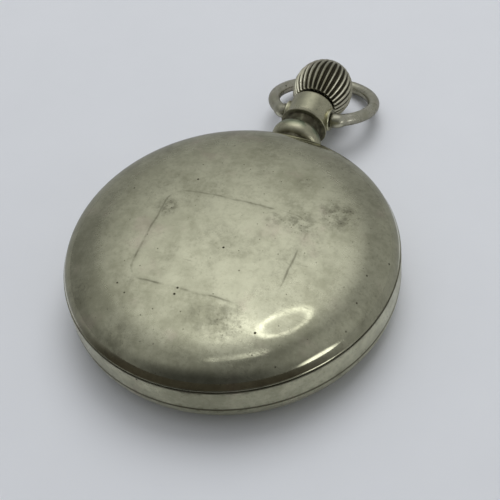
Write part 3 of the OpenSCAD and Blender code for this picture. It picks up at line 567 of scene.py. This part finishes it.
back_cover.data.materials.append(
    nickel_silver("nickel_silver_back", 0.30, dirt_and_shade_mask=seam_dirt_and_shade, marks=back_marks, polish=back_polish))
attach(back_cover, "back")
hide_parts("back_cover")

# ---- Middle of the case ----
# A turned ring that carries the movement, with a screwed rim each side. Its
# outside swells a little between the two seams and is scuffed.

middle_line = soften([
    [28.2, 5.26], [28.42, 5.26], [28.50, 6.2], [28.53, 7.4], [28.51, 8.7], [28.44, 9.66], [28.2, 9.66],
], 0.12)
middle_skin = lay("case_middle", spin(middle_line, 360), True, True, 35)
side_metal = nickel_silver(
    "nickel_silver_side", 0.27, bright=(0.56, 0.55, 0.40, 1), dull=(0.36, 0.353, 0.245, 1), wear=1.2,
    dirt_and_shade_mask=seam_dirt_and_shade)
middle_skin.data.materials.append(side_metal)
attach(middle_skin, "case")

# ---- Bezel ----
# A turned ring screwed to the front of the middle, rounded over to the
# groove that grips the crystal.

bezel_round = 4.6
bore_r = 22.3
round_x = case_r - bezel_round
bezel_line = np.concatenate([
    arc(round_x, front_seam, bezel_round, -2, -88, 36),
    [[round_x - 0.3, 0.60], [bore_r + 0.25, 0.66], [bore_r + 0.06, 0.74], [bore_r, 0.95]],
    [[bore_r, 2.2], [22.75, 2.22], [22.75, 2.9], [bore_r, 2.92], [bore_r, 3.4], [bore_r + 0.15, 3.58]],
    [[26.05, 3.58], [26.2, 3.7], [26.2, 5.1], [26.35, 5.17], [28.3, 5.17], [28.42, 5.14]]])
bezel = lay("bezel_ring", spin(bezel_line, 360), True, True, 35)
bezel.data.materials.append(side_metal)
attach(bezel, "bezel_ring")
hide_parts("bezel")

# ---- Pendant ----
# The turned neck on the case: a bead against the middle, a groove that has
# gone green with verdigris, and a barrel with a rounded end, bored for the stem.

stem_height = 7.4
pendant_line = np.concatenate([
    [[3.6, 27.6], [3.6, 28.4], [3.64, 28.95]],
    arc(2.7, 30.9, 2.0, -62, 62, 30),
    [[3.64, 32.8], [3.6, 33.3], [3.6, 33.9], [3.66, 34.5], [3.95, 34.62], [4.3, 34.66], [4.4, 34.82]],
    [[4.28, 35.1], [4.2, 35.6], [4.2, 37.4]],
    arc(3.5, 39.7, 0.7, 0, 86, 12),
    [[2.55, 40.42], [2.1, 40.4], [2.02, 40.25], [2.02, 28.2], [2.02, 27.6]]])
neck = spin(pendant_line, 160, "Y", (0, 0, stem_height))
saddle = np.sqrt(28.47 ** 2 - neck[..., 0] ** 2)
neck[..., 1] = np.where(neck[..., 1] < 28.6, saddle + (neck[..., 1] - 27.6) * 0.02, neck[..., 1])
pendant = lay("case_pendant", neck, True, True, 35)


def verdigris(tree, place):
    """Share of green on the bead and in the groove above it."""
    along = put(tree, "ShaderNodeSeparateXYZ", {0: place}).outputs[1]
    near = ramp(tree, gap(tree, along, 0.0322), 0.0004, 0.0022, 0.85, 0.0)
    return sum_of(tree, "MULTIPLY", near, ramp(tree, noise(tree, place, 600, 4), 0.36, 0.58))


def pendant_dirt_and_shade(tree, place):
    """Dirt and painted shade in the groove, at the root under the bead where the neck meets the case, and
    at the mouth inside the crown: a share that grows near three heights along the neck, broken up by noise."""
    along = put(tree, "ShaderNodeSeparateXYZ", {0: place}).outputs[1]
    groove = ramp(tree, gap(tree, along, 0.0337), 0.0008, 0.0013, 0.92, 0.0)
    root = ramp(tree, along, 0.0290, 0.0300, 0.95, 0.0)
    mouth = ramp(tree, along, 0.0402, 0.0405, 0.0, 0.9)
    dirt = sum_of(tree, "MAXIMUM", sum_of(tree, "MAXIMUM", groove, root), mouth)
    return sum_of(tree, "MULTIPLY", dirt, ramp(tree, noise(tree, place, 900, 4), 0.25, 0.62, 0.7, 1.0))


neck_metal = nickel_silver(
    "nickel_silver_neck", 0.25, bright=(0.60, 0.575, 0.40, 1), dirt_and_shade_mask=pendant_dirt_and_shade, green=verdigris)
pendant.data.materials.append(neck_metal)
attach(pendant, "case")
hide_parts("pendant")

ear_y = 37.9
ear_line = [
    [0.0, 2.4], [2.45, 2.4], [2.2, 3.0], [1.98, 3.5], [1.95, 3.8], [2.08, 4.05], [2.1, 4.25], [1.98, 4.38],
    [1.2, 4.4], [0.98, 4.36], [0.95, 4.2], [0.95, 3.3], [0.0, 3.3]]
for side, ear_name in ((1, "pendant_ear_right"), (-1, "pendant_ear_left")):
    ear_rows = spin(np.array(ear_line) * (1, side), 72, "X", (0, ear_y, stem_height))
    ear = lay(ear_name, ear_rows, False, True, 30)
    ear.data.materials.append(neck_metal)
    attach(ear, "case")

# ---- Crown ----
# The winding knob: an onion of nickel silver with thirty round ribs, hollow
# at its mouth. The ribs are rubbed bright and the grooves are darkened with dirt and painted shade.

crown_y = 45.3
crown_r = 5.62
crown_arc = 6.63
ribs = 30
rib_deep = 0.62
crown_side = arc(crown_r - crown_arc, crown_y, crown_arc, -40.2, 45.6, 60)
crown_line = np.concatenate([
    [[0.0, 41.95], [3.4, 41.95], [3.58, 41.85], [3.62, 41.1], [3.74, 41.0]],
    crown_side,
    [[3.46, 50.10], [3.25, 50.16], [2.4, 50.2], [0.0, 50.22]]])


def groove_depth(r, h):
    """How far a rib's valley falls below the round: nothing at the ends of the ribbed part, full between."""
    mouth_share = np.clip((h - 40.95) / 0.5, 0, 1) ** 0.5
    top_share = np.clip((50.05 - h) / 1.6, 0, 1) ** 0.6
    return rib_deep * mouth_share * top_share * (r > 3.3)


valley = groove_depth(crown_line[:, 0], crown_line[:, 1])


def rib_wave(row, angle):
    """Ribs round the crown: the valleys are a raised cosine of thirty periods, squared off a little."""
    wave = (0.5 - 0.5 * np.cos(ribs * angle)) ** 0.8
    return -valley[row] * wave


crown_rows = spin(crown_line, ribs * 18, "Y", (0, 0, stem_height), rib_wave)
crown = lay("winding_crown", crown_rows, False, True, 50)
points = np.empty(len(crown.data.vertices) * 3, np.float32)
crown.data.vertices.foreach_get("co", points)
points = points.reshape(-1, 3) * 1000
whole = np.interp(points[:, 1], crown_side[:, 1], crown_side[:, 0])
fallen = whole - np.hypot(points[:, 0], points[:, 2] - stem_height)
# The depth share is also full inside the hollow mouth and 0.3 at the two ends of the ribbed part, so the
# mouth is painted in shade and the ends a little darkened.
sunk = np.clip(fallen / rib_deep, 0, 1) * (points[:, 1] > 41.0)
sunk = np.where(np.abs(points[:, 1] - 45.5) > 4.55, 0.3, sunk)
crown.data.attributes.new("sunk", "FLOAT", "POINT").data.foreach_set("value", sunk.astype(np.float32))


def crown_dirt_and_shade(tree, place):
    """Dirt and painted shade that darken the valleys between the ribs, the hollow mouth and, a little, the
    two ends.
    """
    depth = put(tree, "ShaderNodeAttribute", attribute_name="sunk").outputs["Fac"]
    uneven = sum_of(tree, "MULTIPLY_ADD", noise(tree, place, 700, 3), 0.5, depth)
    return ramp(tree, uneven, 0.55, 0.95, 0.0, 0.97)


crown.data.materials.append(nickel_silver(
    "nickel_silver_crown", 0.24, bright=(0.62, 0.60, 0.47, 1), dull=(0.46, 0.44, 0.32, 1), dirt_and_shade_mask=crown_dirt_and_shade))
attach(crown, "crown_and_stem")
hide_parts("crown")

# ---- Bow ----
# The ring the chain hooks on: round nickel silver wire bent to an oval,
# swollen at its two ends, which turn on pins in the pendant's ears.

bow_y = ear_y
bow_droop = math.radians(-20.6)
bow_ring = 9.56
bow_middle = 8.01
bow_start = -44
wire_r = 1.12


def carry(path, radii, around):
    """A round section carried along a flat path: each ring is square to the path and has its own radius."""
    path, radii = np.asarray(path, float), np.asarray(radii, float)
    ahead = np.gradient(path, axis=0)
    ahead /= np.linalg.norm(ahead, axis=1, keepdims=True)
    side = np.stack([-ahead[:, 1], ahead[:, 0]], -1)
    a = np.linspace(0, 2 * np.pi, around, endpoint=False)
    flat = path[:, None, :] + side[:, None, :] * (radii[:, None] * np.cos(a))[..., None]
    return np.concatenate([flat, (radii[:, None] * np.sin(a))[..., None]], -1)


sweep = arc(0, bow_middle, bow_ring, bow_start, 180 - bow_start, 150)
sweep_way = np.array([-math.sin(math.radians(bow_start)), math.cos(math.radians(bow_start))])
lead_in = bend((4.55, 0.0), (6.1, 0.0), sweep[0], sweep[0] - 1.6 * sweep_way, 26)[:-1]
path = np.concatenate([lead_in, sweep, (lead_in * (-1, 1))[::-1]])
step = np.linalg.norm(np.diff(path, axis=0), axis=1)
run = np.concatenate([[0], np.cumsum(step)])
from_end = np.minimum(run, run[-1] - run)
radii = wire_r + 0.34 * np.exp(-(from_end / 1.5) ** 2) - 0.10 * np.exp(-(from_end / 0.16) ** 2)
bow_rows = carry(path, radii, 40)
caps = np.repeat(path[[0, -1]][:, None, :], 40, 1)
caps = np.concatenate([caps, np.zeros((2, 40, 1))], -1)
bow_rows = np.concatenate([caps[:1], bow_rows, caps[1:]])


def droop(rows):
    """Turns points drawn flat at the pins by the angle at which the bow hangs, and moves them to the
    pendant."""
    x, y, z = rows[..., 0], rows[..., 1], rows[..., 2]
    c, s = math.cos(bow_droop), math.sin(bow_droop)
    return np.stack([x, bow_y + y * c - z * s, stem_height + y * s + z * c], -1)


bow = lay("bow_ring", droop(bow_rows), False, True, 40)


def bow_dirt_and_shade(tree, place):
    """Dirt and painted shade near the pins, where the bow's swollen ends sit against the ears."""
    near = ramp(tree, far_from(tree, place, 0.0, bow_y, stem_height), 0.0046, 0.0062, 0.75, 0.0)
    return sum_of(tree, "MULTIPLY", near, ramp(tree, noise(tree, place, 800, 3), 0.35, 0.6, 0.3, 1.0))


bow_metal = nickel_silver(
    "nickel_silver_bow", 0.24, bright=(0.60, 0.58, 0.47, 1), dirt_and_shade_mask=bow_dirt_and_shade, tooth=0.2)
bow.data.materials.append(bow_metal)
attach(bow, "bow")
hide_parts("bow")
pin_line = [[0.0, 3.4], [0.8, 3.4], [0.88, 3.5], [0.88, 4.7], [0.0, 4.7]]
for side, pin_name in ((1, "bow_pin_right"), (-1, "bow_pin_left")):
    pin_rows = spin(np.array(pin_line) * (1, side), 40, "X", (0, bow_y, stem_height))
    pin = lay(pin_name, pin_rows, False, True, 30)
    pin.data.materials.append(bow_metal)
    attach(pin, "bow")

# ---- Crystal ----
# A thick moulded glass with a flat top and a bevelled edge, pressed into the
# bezel. It is clear with a few fine scratches.

crystal_line = soften([
    [0.0, 0.0], [14.0, 0.0], [22.22, 1.9], [22.25, 2.25], [22.68, 2.27], [22.68, 2.83], [21.6, 2.84],
    [14.0, 1.0], [0.0, 1.0],
], 0.12)
crystal_line[:, 0] = np.where(crystal_line[:, 0] < 0.2, 0.0, crystal_line[:, 0])
crystal_line = np.concatenate([[[0.0, 0.0]], crystal_line[(crystal_line[:, 0] > 0)], [[0.0, 1.0]]])
crystal = lay("crystal_glass", spin(crystal_line, 240), False, True, 35)
glass, tree, shader, place = finish_of("clear_glass")
shader.inputs["Base Color"].default_value = (0.97, 0.985, 0.98, 1)
shader.inputs["Transmission Weight"].default_value = 1.0
shader.inputs["IOR"].default_value = 1.5
fine = hairlines(tree, place, 150, (1, 6, 1), 30, 0.004)
tree.links.new(sum_of(tree, "MULTIPLY_ADD", fine, 0.12, 0.02), shader.inputs["Roughness"])
crystal.data.materials.append(glass)
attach(crystal, "bezel_ring")
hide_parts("crystal")

# ---- Dial printing ----
# The dial is fired white enamel with a sunk seconds dial. Its figures are
# plain Roman numbers, with a railway track for the minutes, in black.

dial_front = 4.2
seconds_at = np.array([0.0, -11.0])
seconds_sunk = 0.3


def slabs(name, quads, low, high):
    """Thin boxes: each four-cornered outline in the plane stands from one height to another."""
    quads = np.asarray(quads, float)
    n = len(quads)
    low_rim = np.concatenate([quads, np.full((n, 4, 1), low)], -1)
    high_rim = np.concatenate([quads, np.full((n, 4, 1), high)], -1)
    verts = np.concatenate([low_rim, high_rim], 1).reshape(-1, 3) * 0.001
    face = np.array([[0, 3, 2, 1], [4, 5, 6, 7], [0, 1, 5, 4], [1, 2, 6, 5], [2, 3, 7, 6], [3, 0, 4, 7]])
    faces = (np.arange(n)[:, None, None] * 8 + face[None]).reshape(-1, 4)
    mesh = bpy.data.meshes.new(name)
    mesh.from_pydata(verts.tolist(), [], faces.tolist())
    work = bmesh.new()
    work.from_mesh(mesh)
    bmesh.ops.recalc_face_normals(work, faces=work.faces)
    work.to_mesh(mesh)
    work.free()
    made = bpy.data.objects.new(name, mesh)
    bpy.context.scene.collection.objects.link(made)
    return made


def stroke(start, end, wide):
    """Four corners of a straight pen stroke of a width."""
    start, end = np.asarray(start, float), np.asarray(end, float)
    across = (end - start)[::-1] * (-1, 1) / np.linalg.norm(end - start) * wide / 2
    return [start - across, start + across, end + across, end - across]


def around_dial(quads, turn, middle=(0.0, 0.0)):
    """Outlines drawn upright at twelve, turned to an angle in degrees clockwise as the dial is read."""
    a = math.radians(turn)
    quads = np.asarray(quads, float)
    x = -quads[..., 0] * math.cos(a) - quads[..., 1] * math.sin(a)
    y = -quads[..., 0] * math.sin(a) + quads[..., 1] * math.cos(a)
    return np.stack([x, y], -1) + np.asarray(middle, float)


figure_in, figure_out = 14.2, 18.2
figure_wide = {"I": 1.15, "V": 2.3, "X": 2.3}
figures = ["XII", "I", "II", "III", "IIII", "V", "", "VII", "VIII", "IX", "X", "XI"]


def letter(kind, x):
    """Strokes of one Roman figure that starts at x: thick and thin pens, with a bar at head and foot."""
    w = figure_wide[kind]
    left, right, mid = x + 0.28, x + w - 0.28, x + w / 2
    bars = [stroke((x + 0.08, figure_out), (x + w - 0.08, figure_out), 0.16)]
    foot = [stroke((x + 0.08, figure_in), (x + w - 0.08, figure_in), 0.16)]
    if kind == "I":
        return bars + foot + [stroke((mid, figure_in), (mid, figure_out), 0.6)]
    if kind == "V":
        thick = stroke((left + 0.1, figure_out), (mid, figure_in), 0.58)
        return bars + [thick, stroke((right, figure_out), (mid, figure_in), 0.2)]
    thick = stroke((left, figure_out), (right, figure_in), 0.58)
    return bars + foot + [thick, stroke((right, figure_out), (left, figure_in), 0.2)]


print_quads = []
for hour, text in enumerate(figures):
    x = -sum(figure_wide[kind] for kind in text) / 2
    for kind in text:
        print_quads.extend(around_dial(letter(kind, x), hour * 30))
        x += figure_wide[kind]
for minute in range(60):
    wide, inner = (0.42, 19.2) if minute % 5 == 0 else (0.16, 19.35)
    print_quads.extend(around_dial([stroke((0, inner), (0, 20.25), wide)], minute * 6))
    seconds_in, wide = (3.9, 0.2) if minute % 10 == 0 else (4.35, 0.1)
    print_quads.extend(around_dial([stroke((0, seconds_in), (0, 4.85), wide)], minute * 6, seconds_at))
for track in (19.3, 20.3):
    for part in range(120):
        half = track * 0.0264
        print_quads.extend(around_dial([stroke((-half, track), (half, track), 0.1)], part * 3))
for part in range(72):
    print_quads.extend(around_dial([stroke((-0.215, 4.9), (0.215, 4.9), 0.08)], part * 5, seconds_at))
print_quads = np.array(print_quads)
in_seconds = np.linalg.norm(print_quads.mean(1) - seconds_at, axis=1) < 5.2
ink, tree, shader, place = finish_of("fired_black")
paint(tree, shader, noise(tree, place, 900, 3), (0.010, 0.010, 0.012, 1), (0.030, 0.028, 0.028, 1))
shader.inputs["Roughness"].default_value = 0.25
for print_name, chosen, level in (
        ("dial_figures", ~in_seconds, dial_front),
        ("dial_seconds_figures", in_seconds, dial_front + seconds_sunk)):
    printed = slabs(print_name, print_quads[chosen], level - 0.02, level + 0.005)
    printed.data.materials.append(ink)
    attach(printed, "case")

# ---- Movement ----
# Frosted gilt plates and train wheels, bright steel winding wheels and
# springs, blued screws and hands, ruby bearings, and a white enamel dial.


def metal(name, colour, dark, rough, grain_scale, grain_deep, ring_at=None, ring_fine=52000.0):
    """A plain metal: colour that clouds towards a darker tone, grain in its gloss and height, and fine
    rings turned about a point if one is given."""
    made, tree, shader, place = finish_of(name)
    cloud = ramp(tree, noise(tree, place, 260, 5, 0.6), 0.36, 0.68)
    paint(tree, shader, cloud, colour, dark)
    shader.inputs["Metallic"].default_value = 1.0
    grain = noise(tree, place, grain_scale, 2)
    height = grain
    if ring_at is not None:
        away = far_from(tree, flat_place(tree, place), *ring_at)
        rings = sum_of(tree, "SINE", sum_of(tree, "MULTIPLY", away, ring_fine))
        height = sum_of(tree, "MULTIPLY_ADD", rings, 0.6, grain)
    tree.links.new(sum_of(tree, "MULTIPLY_ADD", grain, grain_deep, rough), shader.inputs["Roughness"])
    bump = put(tree, "ShaderNodeBump", {"Strength": 0.4, "Distance": 0.00001, "Height": height})
    tree.links.new(bump.outputs[0], shader.inputs["Normal"])
    return made


def jewel_red():
    """Polished synthetic ruby: a deep pink stone that lets some light through."""
    made, tree, shader, place = finish_of("ruby_stone")
    paint(tree, shader, noise(tree, place, 1500, 3), (0.55, 0.02, 0.09, 1), (0.75, 0.06, 0.18, 1))
    shader.inputs["Roughness"].default_value = 0.08
    shader.inputs["IOR"].default_value = 1.76
    shader.inputs["Transmission Weight"].default_value = 0.45
    return made


def fired_white():
    """Fired enamel: glossy warm white with the faintest clouding and orange-peel."""
    made, tree, shader, place = finish_of("fired_white")
    paint(tree, shader, noise(tree, place, 120, 4), (0.86, 0.85, 0.80, 1), (0.80, 0.785, 0.73, 1))
    shader.inputs["Roughness"].default_value = 0.12
    peel = noise(tree, place, 500, 2)
    bump = put(tree, "ShaderNodeBump", {"Strength": 0.15, "Distance": 0.00001, "Height": peel})
    tree.links.new(bump.outputs[0], shader.inputs["Normal"])
    return made


finishes = {
    "case_nickel": side_metal,
    "steel": metal("bright_steel", (0.62, 0.63, 0.65, 1), (0.48, 0.48, 0.50, 1), 0.16, 4000, 0.2),
    "glass": glass,
    "enamel": fired_white(),
    "blued_steel": metal("blued_steel", (0.035, 0.07, 0.32, 1), (0.05, 0.04, 0.22, 1), 0.14, 5000, 0.15),
    "gilt": metal("frosted_gilt", (0.80, 0.58, 0.27, 1), (0.66, 0.46, 0.21, 1), 0.30, 9000, 0.25),
    "brass": metal("brass", (0.78, 0.57, 0.25, 1), (0.58, 0.42, 0.19, 1), 0.22, 4000, 0.2),
    "ruby": jewel_red(),
}
wheel_steel = ((0.62, 0.63, 0.65, 1), (0.5, 0.5, 0.52, 1), 0.14, 4000, 0.16)
snailed = {
    "ratchet_wheel": metal("snailed_ratchet", *wheel_steel, (-8, 6.2)),
    "crown_wheel": metal("snailed_crown_wheel", *wheel_steel, (0, 13.93)),
}
for row in frame["record"]["subparts"]:
    node = nodes[row["node"]]
    if node.hide_render:
        continue
    node.data.materials.clear()
    node.data.materials.append(snailed.get(row["node"], finishes[row["material_slot"]]))
